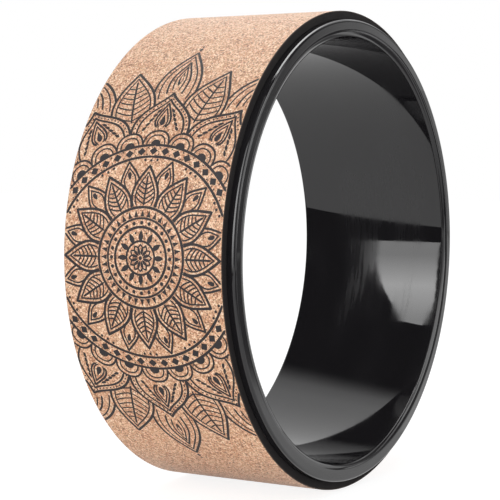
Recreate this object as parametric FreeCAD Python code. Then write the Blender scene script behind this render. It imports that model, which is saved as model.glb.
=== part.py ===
import FreeCAD, Part
import math
import os

# Yoga wheel: a rigid moulded hoop with a cork-faced foam mat wrapped round its outside.
# Millimetres. The wheel stands upright: its axis is Y, +Z is up and the origin is at the
# middle of the whole wheel. The hoop's bare end, which the mat leaves uncovered, is at -Y;
# at +Y the mat stands a little past the hoop.

# Driving sizes of the hoop
outer_diameter = 330.0        # over the cork, the size such a wheel is sold by
hoop_width = 123.0            # along the axis
hoop_wall = 11.8              # radial thickness
hoop_outer_rounding = 1.8     # outside edge of both ends
inner_rounding_radial = 5.8   # inside edge of both ends, where hands grip it: a quarter ellipse
inner_rounding_axial = 2.4

# Driving sizes of the mat, from its face inwards
mat_width = 120.0             # along the axis
cork_thickness = 0.8
foam_thickness = 4.7
glue_thickness = 0.1          # each of the two adhesive films
wrap_clearance = 0.3          # between the hoop and the mat wrapped round it
bare_hoop_width = 5.9         # hoop left uncovered at the -Y end
glue_setback = 1.0            # each film stops this short of the edges of what it joins
seam_gap = 0.4                # between the two ends of the wrapped mat
seam_angle_deg = 260.0        # round from -X over the top, so the seam lies just behind the bottom
cut_overrun = 2.0             # how far a cutting shape runs past what it cuts

# Radii of each layer, worked inwards from the cork's face
cork_outer_radius = outer_diameter / 2
cork_inner_radius = cork_outer_radius - cork_thickness
foam_outer_radius = cork_inner_radius - glue_thickness
foam_inner_radius = foam_outer_radius - foam_thickness
glue_inner_radius = foam_inner_radius - glue_thickness
hoop_outer_radius = glue_inner_radius - wrap_clearance
hoop_inner_radius = hoop_outer_radius - hoop_wall

# Places along the axis
overall_width = max(bare_hoop_width + mat_width, hoop_width)
hoop_bare_end = -overall_width / 2
hoop_far_end = hoop_bare_end + hoop_width
mat_start = hoop_bare_end + bare_hoop_width
mat_end = mat_start + mat_width
joined_end = min(hoop_far_end, mat_end)   # where the hoop and the mat stop covering each other

axis_point = FreeCAD.Vector(0, 0, 0)
axis_direction = FreeCAD.Vector(0, 1, 0)
full_turn_deg = 360


# Section points are (radius, place along the axis), in the half plane of +X and Y
def point(radius, along):
    return FreeCAD.Vector(radius, along, 0)


# Quarter round at a corner: from one edge to the other, bulging towards the corner
def corner_round(start, end, centre):
    radius = (start - centre).Length
    outwards = (start - centre) + (end - centre)
    middle = centre + outwards.normalize() * radius
    return Part.Arc(start, middle, end).toShape()


# Quarter ellipse at an inside edge, from one quarter turn to the next
def edge_round(centre, first_quarter):
    ellipse = Part.Ellipse(centre, inner_rounding_radial, inner_rounding_axial)
    quarter = math.pi / 2
    return Part.ArcOfEllipse(ellipse, first_quarter * quarter, (first_quarter + 1) * quarter).toShape()


def line(start, end):
    return Part.LineSegment(start, end).toShape()


# One turn of a section about the wheel's axis
def turned(edges):
    section = Part.Face(Part.Wire(edges))
    return section.revolve(axis_point, axis_direction, full_turn_deg)


# The hoop: a straight wall with rounded edges at both ends
def make_hoop():
    outer, inner = hoop_outer_radius, hoop_inner_radius
    low, high = hoop_bare_end, hoop_far_end
    r_out, r_in, run_in = hoop_outer_rounding, inner_rounding_radial, inner_rounding_axial

    outer_low_face = point(outer - r_out, low)
    outer_low_wall = point(outer, low + r_out)
    outer_high_wall = point(outer, high - r_out)
    outer_high_face = point(outer - r_out, high)
    inner_high_face = point(inner + r_in, high)
    inner_high_wall = point(inner, high - run_in)
    inner_low_wall = point(inner, low + run_in)
    inner_low_face = point(inner + r_in, low)

    edges = [
        corner_round(outer_low_face, outer_low_wall, point(outer - r_out, low + r_out)),
        line(outer_low_wall, outer_high_wall),
        corner_round(outer_high_wall, outer_high_face, point(outer - r_out, high - r_out)),
        line(outer_high_face, inner_high_face),
        edge_round(point(inner + r_in, high - run_in), 1),
        line(inner_high_wall, inner_low_wall),
        edge_round(point(inner + r_in, low + run_in), 2),
        line(inner_low_face, outer_low_face),
    ]
    return turned(edges)


# A thin slab that parts the wrapped layers where the mat's two ends meet
def seam_slab():
    reach = cork_outer_radius + cut_overrun - hoop_inner_radius
    length = mat_width + 2 * cut_overrun
    corner = FreeCAD.Vector(-cork_outer_radius - cut_overrun, mat_start - cut_overrun, -seam_gap / 2)
    slab = Part.makeBox(reach, length, seam_gap, corner)
    slab.rotate(axis_point, axis_direction, seam_angle_deg)
    return slab


# One layer of the mat: a strip wrapped once round the hoop, its ends parted at the seam
def make_layer(inner_radius, outer_radius, low, high):
    corners = [
        point(inner_radius, low),
        point(outer_radius, low),
        point(outer_radius, high),
        point(inner_radius, high),
    ]
    edges = [line(a, b) for a, b in zip(corners, corners[1:] + corners[:1])]
    return turned(edges).cut(seam_slab())


glue_start = mat_start + glue_setback
hoop_glue_end = joined_end - glue_setback
cork_glue_end = mat_end - glue_setback
parts = {
    "core_hoop": make_hoop(),
    "hoop_adhesive_film": make_layer(glue_inner_radius, foam_inner_radius, glue_start, hoop_glue_end),
    "foam_cushion": make_layer(foam_inner_radius, foam_outer_radius, mat_start, mat_end),
    "cork_adhesive_film": make_layer(foam_outer_radius, cork_inner_radius, glue_start, cork_glue_end),
    "cork_cover": make_layer(cork_inner_radius, cork_outer_radius, mat_start, mat_end),
}

os.makedirs("parts", exist_ok=True)
for name, shape in parts.items():
    shape.exportStep(f"parts/{name}.step")
    print(f"{name}: {len(shape.Solids)} solid, {shape.Volume / 1000:.1f} cm3, valid {shape.isValid()}")
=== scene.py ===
import cmath
import math

import bmesh
import bpy
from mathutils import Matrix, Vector, noise


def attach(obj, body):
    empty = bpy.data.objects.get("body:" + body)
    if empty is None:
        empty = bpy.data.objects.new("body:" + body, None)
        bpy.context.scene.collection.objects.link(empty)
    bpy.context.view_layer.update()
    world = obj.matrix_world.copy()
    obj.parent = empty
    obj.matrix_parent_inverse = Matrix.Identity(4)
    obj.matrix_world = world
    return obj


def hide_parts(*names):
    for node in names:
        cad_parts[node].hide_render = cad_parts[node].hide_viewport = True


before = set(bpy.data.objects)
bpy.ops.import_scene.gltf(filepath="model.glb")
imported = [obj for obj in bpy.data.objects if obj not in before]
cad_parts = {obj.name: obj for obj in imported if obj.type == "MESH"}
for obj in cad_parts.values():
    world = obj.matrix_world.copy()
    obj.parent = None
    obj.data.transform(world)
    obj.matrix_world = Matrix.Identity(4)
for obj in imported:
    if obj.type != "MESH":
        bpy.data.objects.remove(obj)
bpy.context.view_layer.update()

mm = 0.001
body = "root"


# Sizes come from the frame: every CAD layer is turned about Y, so its corners give its radii.
def turnedSize(node):
    corners = [corner.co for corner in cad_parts[node].data.vertices]
    radii = [math.hypot(corner.x, corner.z) for corner in corners]
    along = [corner.y for corner in corners]
    return {"inner": min(radii), "outer": max(radii), "start": min(along), "end": max(along)}


hoopSize = turnedSize("core_hoop")
foamSize = turnedSize("foam_cushion")
corkSize = turnedSize("cork_cover")
seamTurn = math.radians(260)  # where the mat's two ends meet, from -X over the top
seamGap = 0.4 * mm
matWidth = corkSize["end"] - corkSize["start"]
print("wheel over the cork", round(2 * corkSize["outer"], 4), "m, mat", round(matWidth, 4), "m wide")


# Mesh helpers. A section is a closed run of (radius, along) points, swept about the wheel's axis.
def aroundWheel(radius, along, turn):
    return Vector((-radius * math.cos(turn), along, radius * math.sin(turn)))


def steps(start, end, count):
    return [start + (end - start) * i / count for i in range(count + 1)]


def quarterRound(radius, along, size, startDegrees, count, depth=None):
    angles = [math.radians(a) for a in steps(startDegrees, startDegrees + 90, count)]
    return [(radius + size * math.cos(a), along + (depth or size) * math.sin(a)) for a in angles]


# Rows from start to end, with one close to each end so that rounded edges keep their own shading
def edgedRows(start, end, count, edge):
    lean = math.copysign(edge, end - start)
    return [start + lean] + steps(start + lean, end - lean, count)[1:-1] + [end - lean]


def sweepSection(section, turns, closed, relief=None):
    points, faces = [], []
    rows = len(section)
    for turn in turns:
        for radius, along in section:
            lift = relief(radius, along, turn) if relief else 0.0
            points.append(aroundWheel(radius + lift, along, turn))
    laps = len(turns) if closed else len(turns) - 1
    for lap in range(laps):
        here, there = lap * rows, (lap + 1) % len(turns) * rows
        for row in range(rows):
            after = (row + 1) % rows
            faces.append((here + row, here + after, there + after, there + row))
    if not closed:
        last = (len(turns) - 1) * rows
        faces.append(tuple(range(rows)))
        faces.append(tuple(range(last + rows - 1, last - 1, -1)))
    return points, faces


# Turns of a wrapped layer: once round, from one side of the seam to the other
def wrappedTurns(radius, count):
    half = seamGap / 2 / radius
    return steps(seamTurn + half, seamTurn + 2 * math.pi - half, count)


def makePiece(name, points, faces, materials, smooth=True):
    mesh = bpy.data.meshes.new(name)
    mesh.from_pydata(points, [], faces)
    shape = bmesh.new()
    shape.from_mesh(mesh)
    bmesh.ops.recalc_face_normals(shape, faces=shape.faces)
    shape.to_mesh(mesh)
    shape.free()
    mesh.polygons.foreach_set("use_smooth", [smooth] * len(mesh.polygons))
    for material in materials:
        mesh.materials.append(material)
    piece = bpy.data.objects.new(name, mesh)
    bpy.context.collection.objects.link(piece)
    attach(piece, body)
    return piece


# Material helpers. Colours are written as they look on a screen, 0 to 255.
def tint(red, green, blue):
    def linear(value):
        value = value / 255
        return value / 12.92 if value <= 0.04045 else ((value + 0.055) / 1.055) ** 2.4
    return (linear(red), linear(green), linear(blue), 1.0)


def greyTint(value):  # as light, 0 to 1
    return (value, value, value, 1.0)


def feed(tree, socket, value):
    if isinstance(value, bpy.types.NodeSocket):
        tree.links.new(value, socket)
    else:
        socket.default_value = value


def addNode(tree, kind, values=None, **settings):
    made = tree.nodes.new("ShaderNode" + kind)
    for name, value in settings.items():
        setattr(made, name, value)
    for name, value in (values or {}).items():
        feed(tree, made.inputs[name], value)
    return made


def mixTints(tree, amount, first, second, blend="MIX"):
    made = addNode(tree, "Mix", data_type="RGBA", blend_type=blend)
    for socket, value in zip((made.inputs[0], made.inputs[6], made.inputs[7]), (amount, first, second)):
        feed(tree, socket, value)
    return made.outputs[2]


def ramp(tree, amount, stops):
    made = addNode(tree, "ValToRGB", {"Fac": amount})
    bar = made.color_ramp
    for element, (place, colour) in zip(bar.elements, (stops[0], stops[-1])):
        element.position, element.color = place, colour
    for place, colour in stops[1:-1]:
        bar.elements.new(place).color = colour
    return made.outputs["Color"]


def spread(tree, amount, low, high):
    made = addNode(tree, "MapRange", {"Value": amount, "To Min": low, "To Max": high})
    return made.outputs["Result"]


# A stretch of noise values between two thresholds, as 0 to 1
def pickOut(tree, amount, start, full):
    made = addNode(tree, "MapRange", {"Value": amount, "From Min": start, "From Max": full})
    return made.outputs["Result"]


def surfacePlace(tree, scale=(1, 1, 1), shift=(0, 0, 0)):
    place = addNode(tree, "TexCoord").outputs["Object"]
    values = {"Vector": place, "Location": shift, "Scale": scale}
    return addNode(tree, "Mapping", values).outputs["Vector"]


def speckle(tree, place, size, detail=2.0, roughness=0.5):
    values = {"Vector": place, "Scale": 1 / size, "Detail": detail, "Roughness": roughness}
    return addNode(tree, "TexNoise", values).outputs["Fac"]


def bumps(tree, height, strength, depth):
    values = {"Height": height, "Strength": strength, "Distance": depth}
    return addNode(tree, "Bump", values).outputs["Normal"]


def emptyMaterial(name):
    material = bpy.data.materials.new(name)
    material.use_nodes = True
    material.node_tree.nodes.clear()
    return material, material.node_tree


def freshMaterial(name):
    material, tree = emptyMaterial(name)
    shader = addNode(tree, "BsdfPrincipled")
    addNode(tree, "OutputMaterial", {"Surface": shader.outputs["BSDF"]})
    return material, tree, shader


def finishShader(tree, shader, values):
    for name, value in values.items():
        feed(tree, shader.inputs[name], value)


# The hoop: moulded glossy plastic, with faint rub marks that run round it
hoopLook = {
    "outerRounding": 1.8 * mm,
    "outerSteps": 8,
    "innerRounding": 5.8 * mm,  # along the radius
    "innerDepth": 2.4 * mm,  # along the axis
    "innerSteps": 16,
    "turns": 480,
    "wallRows": 8,
    "faceRows": 3,
    "edgeRow": 0.3 * mm,
    "colour": tint(28, 27, 29),
    "colourWorn": tint(36, 35, 37),
    "gloss": 0.02,
    "rubbed": 0.14,
    "rubZone": (1 / 90, 1 / 34, 1 / 90),  # rubbed places per mm
    "rubShift": (0.0, -0.235, 0.0),
    "rubSpan": (0.44, 0.62),
    "rubMark": (1 / 30, 1 / 2.0, 1 / 30),  # streaks per mm, long way round and fine across
    "markSpan": (0.10, 0.85),
    "ripple": 55 * mm,
    "rippleStrength": 0.015,
    "rippleDepth": 2 * mm,
}


def glossyPlastic():
    look = hoopLook
    material, tree, shader = freshMaterial("glossyBlackPlastic")
    zonePlace = surfacePlace(tree, [share / mm for share in look["rubZone"]], look["rubShift"])
    zones = pickOut(tree, speckle(tree, zonePlace, 1.0), *look["rubSpan"])
    streakPlace = surfacePlace(tree, [share / mm for share in look["rubMark"]])
    streaks = speckle(tree, streakPlace, 1.0, detail=4.0, roughness=0.6)
    streaks = pickOut(tree, streaks, *look["markSpan"])
    marks = addNode(tree, "Math", {0: zones, 1: streaks}, operation="MULTIPLY").outputs[0]
    ripple = speckle(tree, surfacePlace(tree), look["ripple"], detail=1.0)
    finishShader(tree, shader, {
        "Base Color": mixTints(tree, marks, look["colour"], look["colourWorn"]),
        "Roughness": spread(tree, marks, look["gloss"], look["rubbed"]),
        "Normal": bumps(tree, ripple, look["rippleStrength"], look["rippleDepth"]),
        "IOR": 1.5,
    })
    return material


def makeHoop():
    look = hoopLook
    inner, outer = hoopSize["inner"], hoopSize["outer"]
    low, high = hoopSize["start"], hoopSize["end"]
    big, deep, small = look["innerRounding"], look["innerDepth"], look["outerRounding"]
    bigSteps, smallSteps = look["innerSteps"], look["outerSteps"]
    wallRows, faceRows, edge = look["wallRows"], look["faceRows"], look["edgeRow"]
    section = [(outer, y) for y in edgedRows(low + small, high - small, wallRows, edge)]
    section += quarterRound(outer - small, high - small, small, 0, smallSteps)
    section += [(r, high) for r in edgedRows(outer - small, inner + big, faceRows, edge)]
    section += quarterRound(inner + big, high - deep, big, 90, bigSteps, deep)
    section += [(inner, y) for y in edgedRows(high - deep, low + deep, wallRows, edge)]
    section += quarterRound(inner + big, low + deep, big, 180, bigSteps, deep)
    section += [(r, low) for r in edgedRows(inner + big, outer - small, faceRows, edge)]
    section += quarterRound(outer - small, low + small, small, 270, smallSteps)
    turns = steps(0, 2 * math.pi, look["turns"])[:-1]
    points, faces = sweepSection(section, turns, closed=True)
    hoop = makePiece("hoop", points, faces, [glossyPlastic()])
    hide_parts("core_hoop")


makeHoop()
print("hoop done")


# The foam: a black closed-cell strip, knife-cut at its edges, its skin pressed onto the hoop at its ends
foamLook = {
    "cutRounding": 0.35 * mm,
    "cutSteps": 4,
    "lipWidth": 0.98 * mm,  # up to the film behind it
    "lipClearance": 0.04 * mm,
    "turns": 420,
    "rows": 24,
    "cutRows": 8,
    "unevenness": 0.06 * mm,
    "unevenLength": 9 * mm,
    "colour": tint(44, 41, 41),
    # painted shade for the cell pits, and also the colour of the random darker blotches
    "poreShadeAndBlotchColour": tint(25, 23, 24),
    "cellSize": 0.45 * mm,
    "poreShadeSpan": (0.15, 0.6),
    "cellStrength": 0.35,
    "cellDepth": 0.15 * mm,
    "blotch": 6 * mm,
    "blotchShare": 0.5,
    "roughness": (0.80, 0.95),
    "fill": 1.0,
}


def closedCellFoam():
    look = foamLook
    material, tree, shader = freshMaterial("blackFoam")
    place = surfacePlace(tree)
    cells = addNode(tree, "TexVoronoi", {"Vector": place, "Scale": 1 / look["cellSize"]})
    height = cells.outputs["Distance"]
    # The cell pits, low in the bump, are painted darker than their rims: painted shade in the hollows
    poreShadeMask = pickOut(tree, height, *look["poreShadeSpan"])
    blotches = speckle(tree, place, look["blotch"], detail=3.0)
    colour = mixTints(tree, poreShadeMask, look["poreShadeAndBlotchColour"], look["colour"])
    darkened = spread(tree, blotches, 0.0, look["blotchShare"])
    finishShader(tree, shader, {
        "Base Color": mixTints(tree, darkened, colour, look["poreShadeAndBlotchColour"]),
        "Roughness": spread(tree, blotches, *look["roughness"]),
        "Normal": bumps(tree, height, look["cellStrength"], look["cellDepth"]),
        "Specular IOR Level": 0.12,
    })
    return material


def makeFoam():
    look = foamLook
    inner, outer = foamSize["inner"], foamSize["outer"]
    low, high = foamSize["start"], foamSize["end"]
    lip, cut = hoopSize["outer"] + look["lipClearance"], look["cutRounding"]
    lipLow, lipHigh = low + look["lipWidth"], min(high, hoopSize["end"]) - look["lipWidth"]
    section = [(outer, y) for y in edgedRows(low + cut, high - cut, look["rows"], cut / 2)]
    section += quarterRound(outer - cut, high - cut, cut, 0, look["cutSteps"])
    section += [(r, high) for r in edgedRows(outer - cut, lip + cut, look["cutRows"], cut / 2)]
    section += quarterRound(lip + cut, high - cut, cut, 90, look["cutSteps"])
    section += [(lip, lipHigh), (inner, lipHigh), (inner, lipLow), (lip, lipLow)]
    section += quarterRound(lip + cut, low + cut, cut, 180, look["cutSteps"])
    section += [(r, low) for r in edgedRows(lip + cut, outer - cut, look["cutRows"], cut / 2)]
    section += quarterRound(outer - cut, low + cut, cut, 270, look["cutSteps"])
    turns = wrappedTurns(outer, look["turns"])
    points, faces = sweepSection(section, turns, closed=False)
    for point in points:  # the knife wanders a little along the two cut faces, always inwards
        for face, into in ((low, 1), (high, -1)):
            if abs(point.y - face) < cut / 4:
                wander = 0.5 + 0.5 * noise.noise(point / look["unevenLength"])
                point.y += into * look["unevenness"] * wander
    foam = makePiece("foam_strip", points, faces, [closedCellFoam()])
    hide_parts("foam_cushion")
    return foam


foamStrip = makeFoam()
print("foam done")


# The cork: a thin pressed-granule sheet with a slightly uneven face and darkened cut edges
corkLook = {
    "edgeRounding": 0.25 * mm,
    "edgeSteps": 3,
    "turns": 700,
    "rows": 72,
    "backRows": 12,
    "relief": 0.05 * mm,
    "reliefLength": 8 * mm,
    "granule": 1.0 * mm,
    "warp": 1.5 * mm,  # bends the granules' outlines
    "warpReach": 0.9 * mm,
    "granuleTones": [
        (0.0, tint(112, 68, 45)),
        (0.2, tint(180, 129, 94)),
        (0.55, tint(212, 167, 132)),
        (1.0, tint(244, 211, 181)),
    ],
    "ruddy": tint(194, 130, 94),
    "ruddySpan": (0.74, 0.93),
    "ruddyShare": 0.8,
    "patch": 14 * mm,
    "pale": tint(232, 200, 168),
    "paleSpan": (0.35, 0.65),
    "paleShare": 0.18,
    "grit": 0.5 * mm,
    "gritGreys": (0.19, 0.82),
    "gritShare": 0.6,
    "fleck": 0.9 * mm,
    "dark": tint(84, 54, 40),
    "darkSpan": (0.605, 0.66),
    "darkShare": 0.8,
    "roughness": (0.45, 0.70),
    "bumpStrength": 0.30,
    "bumpDepth": 0.25 * mm,
    "cutEdge": tint(58, 42, 34),
    # painted shade in the low spots of the cut edge's bump
    "cutEdgeCreviceShade": tint(30, 24, 21),
}


def corkRelief(along, turn):
    spot = aroundWheel(corkSize["outer"], along, turn) / corkLook["reliefLength"]
    return corkLook["relief"] * (noise.noise(spot) - 1.0) / 2


def pressedCork():
    look = corkLook
    material, tree, shader = freshMaterial("pressedCork")
    place = surfacePlace(tree)
    middle = (0.5, 0.5, 0.5)
    warp = addNode(tree, "TexNoise", {"Vector": place, "Scale": 1 / look["warp"], "Detail": 2.0})
    bent = addNode(tree, "VectorMath", {0: warp.outputs["Color"], 1: middle}, operation="SUBTRACT")
    reach = look["warpReach"]
    bent = addNode(tree, "VectorMath", {0: bent.outputs[0], "Scale": reach}, operation="SCALE")
    bent = addNode(tree, "VectorMath", {0: place, 1: bent.outputs[0]}, operation="ADD").outputs[0]
    granules = addNode(tree, "TexVoronoi", {"Vector": bent, "Scale": 1 / look["granule"]})
    ownTone = addNode(tree, "SeparateColor", {"Color": granules.outputs["Color"]})
    colour = ramp(tree, ownTone.outputs["Red"], look["granuleTones"])
    ruddy = pickOut(tree, ownTone.outputs["Green"], *look["ruddySpan"])
    colour = mixTints(tree, spread(tree, ruddy, 0.0, look["ruddyShare"]), colour, look["ruddy"])
    patches = pickOut(tree, speckle(tree, place, look["patch"], detail=3.0), *look["paleSpan"])
    colour = mixTints(tree, spread(tree, patches, 0.0, look["paleShare"]), colour, look["pale"])
    grit = addNode(tree, "TexVoronoi", {"Vector": place, "Scale": 1 / look["grit"]})
    gritTone = addNode(tree, "SeparateColor", {"Color": grit.outputs["Color"]}).outputs["Blue"]
    greys = [(spot, greyTint(grey)) for spot, grey in zip((0.0, 1.0), look["gritGreys"])]
    colour = mixTints(tree, look["gritShare"], colour, ramp(tree, gritTone, greys), blend="OVERLAY")
    flecks = speckle(tree, bent, look["fleck"], detail=3.0, roughness=0.65)
    darkSpots = pickOut(tree, flecks, *look["darkSpan"])
    colour = mixTints(tree, spread(tree, darkSpots, 0.0, look["darkShare"]), colour, look["dark"])
    height = mixTints(tree, 0.5, granules.outputs["Distance"], flecks)
    finishShader(tree, shader, {
        "Base Color": colour,
        "Roughness": spread(tree, flecks, *look["roughness"]),
        "Normal": bumps(tree, height, look["bumpStrength"], look["bumpDepth"]),
        "Specular IOR Level": 0.30,
        "Sheen Weight": 0.13,
        "Sheen Roughness": 0.40,
    })
    return material


def corkCutEdge():
    look = corkLook
    material, tree, shader = freshMaterial("corkCutEdge")
    grit = speckle(tree, surfacePlace(tree), look["grit"], detail=3.0)
    finishShader(tree, shader, {
        # Darker where the grit bump is low: painted shade in the edge's crevices
        "Base Color": ramp(tree, grit, [(0.3, look["cutEdgeCreviceShade"]), (0.7, look["cutEdge"])]),
        "Roughness": spread(tree, grit, 0.75, 0.95),
        "Normal": bumps(tree, grit, 0.3, 0.1 * mm),
    })
    return material


def makeCork():
    look = corkLook
    inner, outer = corkSize["inner"], corkSize["outer"]
    low, high, cut = corkSize["start"], corkSize["end"], look["edgeRounding"]
    section = [(outer, y) for y in edgedRows(low + cut, high - cut, look["rows"], cut / 2)]
    section += quarterRound(outer - cut, high - cut, cut, 0, look["edgeSteps"])
    section += [(inner, y) for y in steps(high, low, look["backRows"])]
    section += quarterRound(outer - cut, low + cut, cut, 270, look["edgeSteps"])

    def relief(radius, along, turn):
        return corkRelief(along, turn) if radius > inner + cut else 0.0

    turns = wrappedTurns(outer, look["turns"])
    points, faces = sweepSection(section, turns, closed=False, relief=relief)
    cork = makePiece("cork_sheet", points, faces, [pressedCork(), corkCutEdge()])
    for polygon in cork.data.polygons:  # the cut edges, the seam's ends and the hidden back are darker
        spots = [points[i] for i in polygon.vertices]
        middle = sum(math.hypot(spot.x, spot.z) for spot in spots) / len(spots)
        onEdge = min(abs(spot.y - face) for spot in spots for face in (low, high)) < cut / 2
        if onEdge or middle < outer - look["relief"] - cut / 2:
            polygon.material_index = 1
    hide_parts("cork_cover")


makeCork()
print("cork done")


# The print: a twelve-fold lotus rosette in black ink, drawn flat in millimetres and rolled onto the
# cork. Each motif is drawn once, pointing up, then repeated round the middle; the mat's edges crop it.
rosette = {
    "centres": [0.8, 180.8],  # degrees round from -X over the top: one facing each way
    "margin": 0.7,
    "proud": 0.05,
    "sunk": 0.12,
    "penStep": 1.0,
    "penTaper": 1.2,
    "penStart": 0.45,
    "penWobble": 0.10,
    "wobbleLength": 7,
    "bold": 1.75,
    "medium": 1.4,
    "fine": 1.05,
    "petals": 12,
    "daisy": {"tip": 8.4, "half": 2.2, "ring": 10.6},
    "star": {"tip": 17.6, "ring": 19.4},
    "pearls": {"radius": 22.2, "size": 1.25, "ring": 25.0},
    "rays": {"count": 36, "base": 26.0, "tip": 30.6, "half": 1.55, "ring": 32.0},
    "lotus": {"base": 32.0, "tip": 59.0, "behindTip": 63.6},
    "band": {"count": 48, "inner": 65.2, "outer": 73.2, "half": 3.1},
    "scallops": {"count": 24, "base": 73.2, "top": 83.4},
    "arches": {"base": 78.0, "tip": 113.0},
    "outerPetals": {"base": 86.0, "tip": 136.0},
    "farPetals": {"base": 104.0, "tip": 153.0},
    "ink": tint(33, 29, 32),
    "wornInk": tint(112, 82, 64),
    "wornSpot": 0.9 * mm,
    "wornSpan": (0.60, 0.74),
    "wornShare": 0.5,
    "inkGrain": 0.4 * mm,
}
petalGap = 180 / rosette["petals"]  # degrees from a petal's middle to the gap beside it


# Points of the flat drawing are complex numbers: across the mat, and up along its length
def polar(radius, degrees):
    return radius * cmath.exp(1j * math.radians(90 - degrees))


def turnedRun(run, degrees):
    return [spot * cmath.exp(-1j * math.radians(degrees)) for spot in run]


def mirrored(run):
    return [complex(-spot.real, spot.imag) for spot in run]


def arcRun(middle, radius, start, end, count=24):
    return [middle + polar(radius, a) for a in steps(start, end, count)]


def bezierRun(start, pullStart, pullEnd, end, count=16):
    run = []
    for t in steps(0.0, 1.0, count):
        s = 1 - t
        run.append(s ** 3 * start + 3 * s * s * t * pullStart + 3 * s * t * t * pullEnd + t ** 3 * end)
    return run


# A leaf-shaped outline that points up: one half by its base, belly and tip, the other half mirrored
def leafRun(base, baseHalf, belly, bellyAt, shoulder, shoulderAt, tip):
    pulls = complex(-belly, bellyAt), complex(-shoulder, shoulderAt)
    left = bezierRun(complex(-baseHalf, base), *pulls, complex(0, tip))
    return left + mirrored(reversed(left[:-1]))


# The run again at even steps no longer than the one given
def evenRun(run, step):
    spots = [run[0]]
    for start, end in zip(run, run[1:]):
        count = max(1, math.ceil(abs(end - start) / step))
        spots += [start + (end - start) * (i + 1) / count for i in range(count)]
    return spots


def isInside(spot, outline):
    inside = False
    for start, end in zip(outline, outline[1:] + outline[:1]):
        if (start.imag > spot.imag) != (end.imag > spot.imag):
            share = (spot.imag - start.imag) / (end.imag - start.imag)
            inside ^= spot.real < start.real + share * (end.real - start.real)
    return inside


# Pieces of a run that lie inside one outline, where one is given, and outside all the others
def clipRun(run, inside=None, outside=()):
    pieces, piece = [], []
    for spot in evenRun(run, rosette["penStep"] / 2):
        covered = any(isInside(spot, other) for other in outside)
        if not covered and (inside is None or isInside(spot, inside)):
            piece.append(spot)
        elif piece:
            pieces.append(piece)
            piece = []
    pieces.append(piece)
    return [found for found in pieces if len(found) > 2]


class Drawing:
    def __init__(self):
        self.lines = []
        self.fills = []

    def line(self, run, width, count=rosette["petals"], offset=0.0, closed=False):
        for k in range(count):
            self.lines.append((turnedRun(run, offset + 360 * k / count), width, closed))

    def pieces(self, runs, width, offset=0.0):
        for run in runs:
            self.line(run, width, offset=offset)

    def ring(self, radius, width):
        self.line(arcRun(0, radius, 0, 360, max(36, int(radius * 4)))[:-1], width, 1, closed=True)

    def fill(self, outline, count=rosette["petals"], offset=0.0):
        for k in range(count):
            self.fills.append(turnedRun(outline, offset + 360 * k / count))

    def dot(self, spot, size, count=rosette["petals"], offset=0.0):
        self.fill(arcRun(spot, size, 0, 360, 12)[:-1], count, offset)

    # Beads along a run, each as far from the next as the spacing says
    def beads(self, run, spacing, size):
        walked, previous = 0.0, None
        for spot in evenRun(run, spacing / 8):
            walked += abs(spot - previous) if previous is not None else spacing
            previous = spot
            if walked >= spacing:
                walked = 0.0
                self.dot(spot, size)


def drawMiddle(sheet):
    daisy, star = rosette["daisy"], rosette["star"]
    pearls, rays = rosette["pearls"], rosette["rays"]
    sheet.dot(0, 1.3, 1)
    petal = leafRun(2.0, 0.3, daisy["half"] * 1.1, 4.4, daisy["half"], 6.6, daisy["tip"])
    sheet.line(petal, rosette["fine"])
    sheet.ring(daisy["ring"], rosette["medium"])
    sheet.fill(leafRun(daisy["ring"] + 0.6, 1.0, 2.6, 13.6, 1.2, 15.6, star["tip"]))
    sheet.dot(complex(0, star["tip"] - 1.6), 0.75, offset=petalGap)
    sheet.ring(star["ring"], rosette["bold"])
    sheet.dot(complex(0, pearls["radius"]), pearls["size"], 24)
    sheet.ring(pearls["ring"], rosette["medium"])
    foot, half = rays["base"], rays["half"]
    sheet.fill([complex(-half, foot), complex(half, foot), complex(0, rays["tip"])], rays["count"])
    sheet.ring(rays["ring"], rosette["bold"])


# Curved veins on both sides of a midrib, kept inside the petal's inner outline
def drawVeins(sheet, feet, reach, rise, width, inside, outside=(), offset=0.0):
    for foot in feet:
        vein = bezierRun(complex(0, foot), complex(reach * 0.35, foot + rise * 0.15),
                         complex(reach * 0.75, foot + rise * 0.5), complex(reach, foot + rise), 8)
        for side in (vein, mirrored(vein)):
            sheet.pieces(clipRun(side, inside, outside), width, offset)


def drawLotus(sheet):
    lotus = rosette["lotus"]
    base, tip = lotus["base"], lotus["tip"]
    front = leafRun(base, 7.9, 13.6, base + 10.5, 4.6, tip - 7, tip)
    inner = leafRun(base + 0.6, 5.4, 10.4, base + 10, 3.4, tip - 10.5, tip - 4.2)
    sheet.line(front, rosette["bold"])
    sheet.line(inner, rosette["fine"])
    sheet.line([complex(0, base + 1.0), complex(0, tip - 6.5)], rosette["medium"])
    drawVeins(sheet, steps(base + 2.2, tip - 12.5, 4), 7.0, 5.0, rosette["fine"], inner)
    fronts = [turnedRun(front, petalGap), turnedRun(front, -petalGap)]
    top = lotus["behindTip"]
    behind = leafRun(base + 8, 6.0, 9.6, base + 19, 4.4, top - 7.5, top)
    sheet.pieces(clipRun(behind, outside=fronts), rosette["medium"], petalGap)
    nested = leafRun(base + 14, 3.2, 6.0, base + 21, 2.6, top - 9, top - 4.2)
    sheet.pieces(clipRun(nested, outside=fronts), rosette["fine"], petalGap)
    sheet.fill(leafRun(base + 19.5, 0.4, 2.2, base + 22.5, 1.2, base + 25, top - 7.2), offset=petalGap)
    for lean in (-4.2, 0.0, 4.2):
        sheet.dot(polar(top - 1.0 + 0.5 * abs(lean) / 4.2, lean), 0.95)


def drawBand(sheet):
    band = rosette["band"]
    for radius in (band["inner"], band["outer"]):
        sheet.ring(radius, rosette["bold"])
    middle, tall = (band["inner"] + band["outer"]) / 2, (band["outer"] - band["inner"]) / 2 - 1.25
    half = band["half"]
    outline = [complex(-half, middle), complex(0, middle + tall),
               complex(half, middle), complex(0, middle - tall)]
    sheet.fill(outline, band["count"])
    for side in (1, -1):
        sheet.dot(complex(0, middle + side * (tall - 0.5)), 0.55, band["count"], 180 / band["count"])


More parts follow.
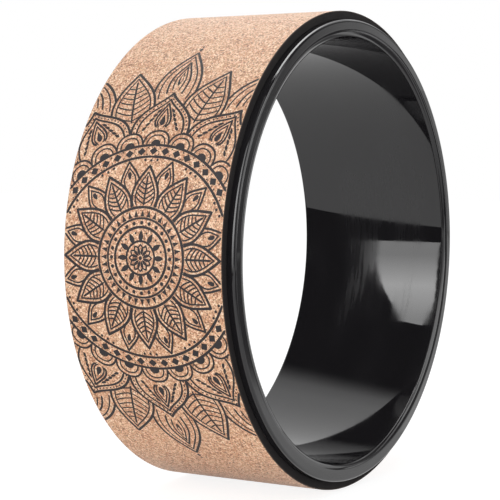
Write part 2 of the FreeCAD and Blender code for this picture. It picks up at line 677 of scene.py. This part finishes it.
def scallopRun(share):
    edge = rosette["scallops"]
    half = edge["base"] * math.tan(math.pi / edge["count"]) * share
    top = edge["base"] + (edge["top"] - edge["base"]) * share
    return leafRun(edge["base"], half, half * 1.02, edge["base"] + 5.5 * share, half * 0.72, top, top)


def drawScallops(sheet):
    edge = rosette["scallops"]
    count = edge["count"]
    for share, width in ((1.0, "medium"), (0.70, "fine")):
        sheet.line(scallopRun(share), rosette[width], count)
    sheet.fill(scallopRun(0.38), count)


def drawArches(sheet):
    arch = rosette["arches"]
    base, tip = arch["base"], arch["tip"]
    half = base * math.tan(math.radians(petalGap))
    edge = rosette["scallops"]
    scallops = [turnedRun(scallopRun(1.0), 360 * k / edge["count"]) for k in range(-2, 3)]
    outline = leafRun(base, half, half * 1.22, base + 20, 6.0, tip - 10, tip)
    inner = leafRun(base, half * 0.80, half * 0.98, base + 18, 4.6, tip - 13.5, tip - 5.2)
    between = leafRun(base, half * 0.90, half * 1.10, base + 19, 5.3, tip - 11.8, tip - 2.6)
    sheet.pieces(clipRun(outline, outside=scallops), rosette["bold"])
    sheet.pieces(clipRun(inner, outside=scallops), rosette["medium"])
    sheet.beads(clipRun(between, outside=scallops)[0], 2.9, 0.62)
    drop = leafRun(base + 8, 3.0, 8.6, base + 12, 4.0, tip - 16.5, tip - 8.6)
    eye = leafRun(base + 8, 1.6, 6.0, base + 12, 2.6, tip - 19, tip - 12.5)
    sheet.pieces(clipRun(drop, outside=scallops), rosette["medium"])
    sheet.pieces(clipRun(eye, outside=scallops), rosette["fine"])
    sheet.fill(leafRun(base + 9.5, 0.4, 3.4, base + 11.5, 1.2, tip - 21, tip - 17))
    sprig = [spot * cmath.exp(0.75j) for spot in leafRun(0, 0.2, 1.7, 1.6, 0.7, 3.2, 4.6)]
    for k, foot in enumerate(steps(base + 5.4, base + 19, 4)):
        reach = half * (0.66 - 0.085 * k)
        placed = [complex(reach, foot) + spot for spot in sprig]
        for side in (placed, mirrored(placed)):
            if not any(isInside(spot, other) for spot in side for other in scallops):
                sheet.fill(side)
    return outline


def drawOuterPetals(sheet, arch):
    petal = rosette["outerPetals"]
    base, tip = petal["base"], petal["tip"]
    arches = [turnedRun(arch, petalGap), turnedRun(arch, -petalGap)]
    outline = leafRun(base, 9.0, 25.0, base + 22, 9.0, tip - 14, tip)
    inner = leafRun(base, 6.0, 21.0, base + 21, 6.8, tip - 17, tip - 4.8)
    sheet.pieces(clipRun(outline, outside=arches), rosette["bold"], petalGap)
    sheet.pieces(clipRun(inner, outside=arches), rosette["fine"], petalGap)
    rib = [complex(0, base + 6), complex(0, tip - 8)]
    sheet.pieces(clipRun(rib, outside=arches), rosette["medium"], petalGap)
    feet = steps(base + 8, tip - 15, 6)
    drawVeins(sheet, feet, 16.0, 10.0, rosette["fine"], inner, arches, petalGap)
    return outline


def drawFarPetals(sheet, arch, outerPetal):
    petal = rosette["farPetals"]
    base, tip = petal["base"], petal["tip"]
    fronts = [arch, turnedRun(outerPetal, petalGap), turnedRun(outerPetal, -petalGap)]
    for inset, width in ((0.0, "bold"), (3.6, "fine"), (8.4, "medium"), (11.6, "fine")):
        outline = leafRun(base + inset, 14.0 - inset, 21.0 - inset * 1.35, base + 24, 8.0 - inset * 0.5,
                          tip - 13 - inset, tip - inset * 1.3)
        sheet.pieces(clipRun(outline, outside=fronts), rosette[width])
    sheet.fill(leafRun(tip - 33, 0.4, 2.6, tip - 29, 1.2, tip - 25, tip - 20))
    sheet.dot(complex(0, tip + 3.6), 1.35)
    sheet.dot(complex(0, tip + 7.2), 0.85)


def drawRosette():
    sheet = Drawing()
    drawMiddle(sheet)
    drawLotus(sheet)
    drawBand(sheet)
    drawScallops(sheet)
    arch = drawArches(sheet)
    drawFarPetals(sheet, arch, drawOuterPetals(sheet, arch))
    return sheet


# Pieces of a run that lie between the mat's edges
def cropRun(run, low, high):
    kept, piece = [], []
    for start, end in zip(run, run[1:]):
        rise = end.real - start.real
        enter, leave = 0.0, 1.0
        if rise:
            cuts = sorted(((low - start.real) / rise, (high - start.real) / rise))
            enter, leave = max(enter, cuts[0]), min(leave, cuts[1])
        elif not low <= start.real <= high:
            leave = -1.0
        if enter < leave:
            piece = piece or [start + (end - start) * enter]
            piece.append(start + (end - start) * leave)
        if piece and (enter >= leave or leave < 1.0):
            kept.append(piece)
            piece = []
    return kept + [piece] if piece else kept


# Rolls the drawing onto the cork at one place, as thin closed strips of ink
class InkRoll:
    def __init__(self, centreTurn):
        self.centreTurn = centreTurn
        self.centreAlong = (corkSize["start"] + corkSize["end"]) / 2
        self.points = []
        self.faces = []

    def place(self, spot, lift):
        along = self.centreAlong + spot.real * mm
        turn = self.centreTurn + spot.imag * mm / corkSize["outer"]
        radius = corkSize["outer"] + corkRelief(along, turn) + lift * mm
        self.points.append(aroundWheel(radius, along, turn))
        return len(self.points) - 1

    def strip(self, run, width, closed):
        rings = []
        proud, sunk = rosette["proud"], -rosette["sunk"]
        last = len(run) - 1
        length = sum(abs(b - a) for a, b in zip(run, run[1:]))
        walked = 0.0
        for i, spot in enumerate(run):
            walked += abs(spot - run[i - 1]) if i else 0.0
            before = run[i - 1] if i else (run[last] if closed else spot)
            after = run[i + 1] if i < last else (run[0] if closed else spot)
            course = (after - before) / max(abs(after - before), 1e-9)
            press = 1.0
            if not closed:  # the pen lands and lifts lightly
                ease = min(walked, length - walked) / rosette["penTaper"]
                press = min(1.0, rosette["penStart"] + (1 - rosette["penStart"]) * ease)
            spaced = spot / rosette["wobbleLength"]
            press *= 1.0 + rosette["penWobble"] * noise.noise(Vector((spaced.real, spaced.imag, width)))
            side = 1j * course * width / 2 * press
            corners = ((side, proud), (-side, proud), (-side, sunk), (side, sunk))
            rings.append([self.place(spot + shift, lift) for shift, lift in corners])
        pairs = list(zip(rings, rings[1:])) + ([(rings[-1], rings[0])] if closed else [])
        for here, there in pairs:
            for k in range(4):
                self.faces.append((here[k], here[(k + 1) % 4], there[(k + 1) % 4], there[k]))
        if not closed:
            self.faces.append(tuple(rings[0]))
            self.faces.append(tuple(reversed(rings[-1])))

    def blob(self, outline):
        top = [self.place(spot, rosette["proud"]) for spot in outline]
        bottom = [self.place(spot, -rosette["sunk"]) for spot in outline]
        self.faces.append(tuple(top))
        self.faces.append(tuple(reversed(bottom)))
        for i in range(len(outline)):
            j = (i + 1) % len(outline)
            self.faces.append((top[i], bottom[i], bottom[j], top[j]))


def blackInk():
    material, tree, shader = freshMaterial("blackInk")
    place = surfacePlace(tree)
    spots = pickOut(tree, speckle(tree, place, rosette["wornSpot"], detail=3.0), *rosette["wornSpan"])
    worn = spread(tree, spots, 0.0, rosette["wornShare"])
    grain = speckle(tree, place, rosette["inkGrain"])
    finishShader(tree, shader, {
        "Base Color": mixTints(tree, worn, rosette["ink"], rosette["wornInk"]),
        "Roughness": spread(tree, grain, 0.5, 0.75),
        "Normal": bumps(tree, grain, 0.2, 0.1 * mm),
        "Specular IOR Level": 0.35,
    })
    return material


def makePrint():
    sheet = drawRosette()
    reach = matWidth / mm / 2 - rosette["margin"]
    ink = blackInk()
    for number, centre in enumerate(rosette["centres"], 1):
        roll = InkRoll(math.radians(centre))
        for run, width, closed in sheet.lines:
            if closed and all(abs(spot.real) < reach for spot in run):
                roll.strip(evenRun(run, rosette["penStep"]), width, True)
                continue
            for piece in cropRun(run + run[:1] if closed else run, -reach, reach):
                if len(piece) > 1:
                    roll.strip(evenRun(piece, rosette["penStep"]), width, False)
        for outline in sheet.fills:
            if all(abs(spot.real) < reach for spot in outline):
                roll.blob(outline)
        printed = makePiece(f"cork_print_{number}", roll.points, roll.faces, [ink], smooth=False)


makePrint()
print("print done")


# The two adhesive films stay as the CAD has them
filmLook = {"thin": tint(150, 128, 84), "thick": tint(196, 176, 128), "cloud": 5 * mm}


def clearAdhesive():
    material, tree, shader = freshMaterial("contactAdhesive")
    cloud = speckle(tree, surfacePlace(tree), filmLook["cloud"], detail=4.0)
    finishShader(tree, shader, {
        "Base Color": ramp(tree, cloud, [(0.3, filmLook["thin"]), (0.7, filmLook["thick"])]),
        "Roughness": spread(tree, cloud, 0.35, 0.6),
    })
    return material


adhesive = clearAdhesive()
for node in ("hoop_adhesive_film", "cork_adhesive_film"):
    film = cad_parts[node]
    film.data.materials.clear()
    film.data.materials.append(adhesive)
print("adhesive films done")


# The studio: a white floor, a white room, and cards that only the gloss sees
upwards, rightwards, inwards = (0, 0, 1), (1, 0, 0), (0, 1, 0)
floorLevels = (-0.1645, -0.1643, -0.1641)  # cards that lie just above the floor, one over another


# Corners of the cards
def levelPatch(height, outline):
    return [(across, depth, height) for across, depth in outline]


def levelPanel(height, left, right, near, far):
    return levelPatch(height, [(left, near), (right, near), (right, far), (left, far)])


def wallPatch(depth, outline):
    return [(across, depth, height) for across, height in outline]


def wallPanel(depth, left, right, low, high):
    return wallPatch(depth, [(left, low), (right, low), (right, high), (left, high)])


def sidePanel(across, near, far, low, high):
    return [(across, near, low), (across, far, low), (across, far, high), (across, near, high)]


# A strip that stands on its foot and leans over along its course, each edge by its own bend
def bentStrip(foot, course, width, low, tops, bends, power=2.1, count=8):
    edges = []
    for start, top, bend in zip((0.0, width), tops, bends):
        heights = steps(low, top, count)
        runs = [start + bend * (height - low) ** power for height in heights]
        edges.append([(foot[0] + course[0] * run, foot[1] + course[1] * run, height)
                      for run, height in zip(runs, heights)])
    return edges[0] + edges[1][::-1]


studio = {
    "floorHalf": 6.0,
    "floorWhite": 0.90,
    "shownWhite": 0.30,
    "shownGlow": 0.86,
    "roomFill": 0.66,
    # Each card's corners in metres and the brightness that the gloss sees, then how that fades:
    # a direction, the stretch along it in metres, and shares of the brightness along that stretch.
    "cards": {
        "softBox": (
            bentStrip((-1.485, 0.682), (0.457, 0.889), 0.12, -0.073, (1.43, 1.33), (0.1185, 0.087)), 8.0,
            (upwards, -0.10, 1.43, [(0.15, 0.5), (0.46, 1.0), (0.9, 0.6)])),
        "rimBox": (
            [(-0.5, -0.10, -0.06), (-0.5, 0.20, -0.06), (-0.5, 0.285, 0.55), (-0.5, 0.0, 0.55)], 6.5,
            (upwards, -0.06, 0.55, [
                (0.0, 0.0), (0.05, 0.35), (0.23, 0.93), (0.43, 1.0), (0.72, 0.6), (1.0, 0.4)])),
        "rightBox": (
            sidePanel(1.5, -0.75, 0.85, 0.25, 0.90), 1.1,
            (upwards, 0.25, 0.90, [(0.0, 0.2), (0.3, 0.25), (0.55, 0.5), (0.75, 1.0), (1.0, 1.0)])),
        "rightLow": (sidePanel(1.5, 0.1, 0.85, -0.16, 0.25), 0.4, None),
        "rightFloor": (levelPanel(floorLevels[0], 0.12, 1.2, -0.05, 0.08), 0.25, None),
        "farFloor": (levelPanel(floorLevels[0], 3.6, 14.0, -8.0, -0.2), 0.3, None),
        "topBox": (
            levelPanel(1.15, -0.1, 1.6, -0.48, 0.45), 8.0,
            (rightwards, -0.1, 1.6, [
                (0.0, 1.0), (0.24, 1.0), (0.39, 0.65), (0.53, 0.40), (0.665, 0.22), (0.92, 0.13)])),
        "frontBox": (
            wallPanel(-1.48, -1.0, 0.95, -0.14, 1.7), 5.0,
            ((0.35, 0, 0.94), -0.4, 1.3, [
                (0.0, 0.14), (0.2, 0.21), (0.29, 0.22), (0.41, 0.54), (0.8, 0.62), (0.86, 0.7),
                (1.0, 1.0)])),
        "frontShade": (wallPanel(-1.479, 0.4, 0.95, 0.45, 1.7), 1.3, None),
        "streak": (
            wallPatch(-1.49, [
                (1.02, -0.08), (1.25, -0.08), (1.40, 0.14), (1.58, 0.26), (1.72, 0.26), (1.85, 0.20),
                (1.95, 0.10), (2.05, 0.10), (2.02, 0.30), (1.90, 0.45), (1.72, 0.48), (1.48, 0.72),
                (1.02, 0.68)]), 3.2,
            (rightwards, 1.0, 2.0, [(0.0, 1.0), (0.22, 1.0), (0.36, 0.5), (0.5, 0.45), (1.0, 0.30)])),
        "lowWall": (
            wallPatch(-1.492, [
                (2.26, -0.17), (3.5, -0.17), (3.5, 0.24), (2.76, 0.24), (2.66, 0.14), (2.45, 0.15),
                (2.36, 0.06), (2.26, 0.0)]), 1.3,
            (rightwards, 2.2, 3.5, [
                (0.0, 0.6), (0.15, 0.85), (0.35, 1.0), (0.6, 1.0), (0.72, 0.65), (0.9, 0.6)])),
        "darkGap": (
            wallPatch(-1.488, [
                (2.48, 0.06), (2.74, 0.09), (2.77, -0.17), (3.26, -0.17), (3.24, -0.04), (3.20, 0.07),
                (3.08, 0.21), (2.98, 0.27), (2.90, 0.30), (2.80, 0.26), (2.64, 0.18), (2.50, 0.12)]),
            0.1, None),
        "upperWall": (wallPanel(-1.49, 2.1, 3.4, 0.46, 1.4), 0.2, None),
        "frontWall": (
            wallPanel(-1.5, -3.2, 3.6, -0.17, 6.0), 1.1,
            (rightwards, 1.9, 3.2, [
                (0.1, 0.08), (0.19, 0.2), (0.31, 0.26), (0.46, 0.45), (0.69, 0.8), (0.85, 0.92),
                (1.0, 1.0)])),
        "nearFloor": (
            levelPanel(floorLevels[0], -0.6, 0.22, -1.5, -0.06), 1.08,
            (inwards, -0.9, -0.05, [
                (0.0, 0.15), (0.35, 0.25), (0.47, 0.5), (0.56, 0.6), (0.70, 0.95), (0.86, 1.0),
                (0.95, 0.9)])),
        "middleFloor": (
            levelPatch(floorLevels[1], [(0.1, -0.125), (0.75, -0.435), (0.75, -0.8), (0.1, -0.6)]), 1.1,
            (rightwards, 0.1, 0.75, [
                (0.0, 0.95), (0.22, 0.95), (0.40, 0.80), (0.50, 0.5), (0.62, 0.27), (0.8, 0.18),
                (1.0, 0.13)])),
        "floorGap": (
            levelPatch(floorLevels[2], [
                (0.50, -0.33), (0.82, -0.44), (1.48, -0.74), (1.48, -0.95), (0.62, -0.48)]),
            0.1, None),
        "frontFloor": (
            levelPanel(floorLevels[0], 0.22, 3.6, -1.5, -0.06), 1.4,
            ((0.4305, 0.9026, 0), -0.5, 0.5, [
                (0.0, 0.5), (0.06, 0.57), (0.10, 0.36), (0.12, 0.15), (0.40, 0.09), (0.415, 0.2),
                (0.43, 0.5), (0.45, 0.75), (0.48, 1.0), (0.495, 0.95), (0.51, 0.78), (0.57, 0.76),
                (0.59, 0.4), (0.62, 0.2), (0.80, 0.2), (0.88, 0.85), (1.0, 1.0)])),
        "darkFloor": (levelPanel(floorLevels[0], -4.0, 0.1, 0.35, 4.0), 0.0, None),
        "darkWall": (
            [(-2.9, -0.2, -0.16), (-0.25, 2.4, -0.16), (-0.25, 2.4, 5.0), (-2.9, -0.2, 5.0)], 0.0, None),
        "ceiling": (
            levelPanel(1.5, -0.45, 2.6, -0.6, 2.6), 1.6,
            ((0.647, 0.763, 0), 0.55, 0.90, [
                (0.0, 0.0), (0.14, 0.11), (0.29, 0.33), (0.43, 0.57), (0.57, 0.80), (1.0, 1.0)])),
    },
    "lamps": {  # place, aim, width, height, watts
        "leftBackLamp": ((-1.45, 0.70, 0.75), (0, 0, 0), 0.6, 1.3, 6.2),
        "leftFrontLamp": ((-1.7, -0.9, 0.0), (0, 0, 0), 1.2, 0.8, 8.8),
        "topLamp": ((0.3, 0.2, 1.7), (0, 0, 0), 1.6, 1.6, 6.2),
        "tableLamp": ((-0.19, -0.02, -0.162), (-0.19, -0.02, 1.0), 0.16, 0.3, 0.038),
    },
}


def seenByEye(tree):
    path = addNode(tree, "LightPath")
    seen = path.outputs["Is Camera Ray"]
    for other in ("Is Glossy Ray", "Is Transmission Ray"):
        seen = addNode(tree, "Math", {0: seen, 1: path.outputs[other]}, operation="MAXIMUM").outputs[0]
    return seen


def makeFloor():
    half, level = studio["floorHalf"], -corkSize["outer"]
    mesh = bpy.data.meshes.new("floor")
    mesh.from_pydata(levelPanel(level, -half, half, -half, half), [], [(0, 1, 2, 3)])
    floor = bpy.data.objects.new("floor", mesh)
    bpy.context.collection.objects.link(floor)
    material, tree = emptyMaterial("whiteFloor")
    paper = addNode(tree, "BsdfDiffuse", {"Color": greyTint(studio["floorWhite"])})
    shown = addNode(tree, "BsdfDiffuse", {"Color": greyTint(studio["shownWhite"])})
    glow = addNode(tree, "Emission", {"Strength": studio["shownGlow"]})
    lit = addNode(tree, "AddShader", {0: shown.outputs[0], 1: glow.outputs[0]})
    both = addNode(tree, "MixShader", {0: seenByEye(tree), 1: paper.outputs[0], 2: lit.outputs[0]})
    addNode(tree, "OutputMaterial", {"Surface": both.outputs[0]})
    mesh.materials.append(material)


def makeRoom():
    world = bpy.data.worlds.new("whiteRoom")
    world.use_nodes = True
    tree = world.node_tree
    tree.nodes.clear()
    level = spread(tree, seenByEye(tree), studio["roomFill"], 1.0)
    glow = addNode(tree, "Background", {"Color": greyTint(1.0), "Strength": level})
    addNode(tree, "OutputWorld", {"Surface": glow.outputs[0]})
    bpy.context.scene.world = world


def makeCard(name, corners, glow, fade):
    mesh = bpy.data.meshes.new(name)
    mesh.from_pydata(corners, [], [tuple(range(len(corners)))])
    card = bpy.data.objects.new(name, mesh)
    bpy.context.collection.objects.link(card)
    material, tree = emptyMaterial(name)
    light = addNode(tree, "Emission", {"Strength": glow})
    if fade:
        direction, start, end, stops = fade
        place = addNode(tree, "TexCoord").outputs["Object"]
        along = addNode(tree, "VectorMath", {0: place, 1: direction}, operation="DOT_PRODUCT")
        along = pickOut(tree, along.outputs["Value"], start, end)
        shares = [(spot, greyTint(share)) for spot, share in stops]
        feed(tree, light.inputs["Color"], ramp(tree, along, shares))
    addNode(tree, "OutputMaterial", {"Surface": light.outputs[0]})
    mesh.materials.append(material)
    card.visible_camera = card.visible_diffuse = card.visible_shadow = False
    card.visible_transmission = card.visible_volume_scatter = False


def aimAt(thing, place, aim):
    thing.location = place
    thing.rotation_euler = (Vector(aim) - Vector(place)).to_track_quat("-Z", "Y").to_euler()


def makeLamp(name, place, aim, width, height, watts):
    light = bpy.data.lights.new(name, "AREA")
    light.shape = "RECTANGLE"
    light.size, light.size_y, light.energy = width, height, watts
    lamp = bpy.data.objects.new(name, light)
    aimAt(lamp, place, aim)
    lamp.visible_glossy = lamp.visible_camera = False
    bpy.context.collection.objects.link(lamp)


makeFloor()
makeRoom()
for name, values in studio["cards"].items():
    makeCard(name, *values)
for name, values in studio["lamps"].items():
    makeLamp(name, *values)
print("studio done")


# The camera stands at the wheel's bare end, a little above its middle
photoView = {
    "azimuth": -59.7634,
    "elevation": 3.4337,
    "distance": 1.14972,
    "aim": (-0.009967, 0.016636, -0.00116),
    "lens": 116.333,
}


def makeCamera():
    azimuth, elevation = math.radians(photoView["azimuth"]), math.radians(photoView["elevation"])
    back = Vector((math.sin(azimuth) * math.cos(elevation), -math.cos(azimuth) * math.cos(elevation),
                   math.sin(elevation)))
    lens = bpy.data.cameras.new("photoCamera")
    lens.lens = photoView["lens"]
    camera = bpy.data.objects.new("photoCamera", lens)
    aimAt(camera, back * photoView["distance"], photoView["aim"])
    bpy.context.collection.objects.link(camera)
    bpy.context.scene.camera = camera


makeCamera()
bpy.context.scene.view_settings.view_transform = "Standard"
print("camera done")

bpy.context.view_layer.update()
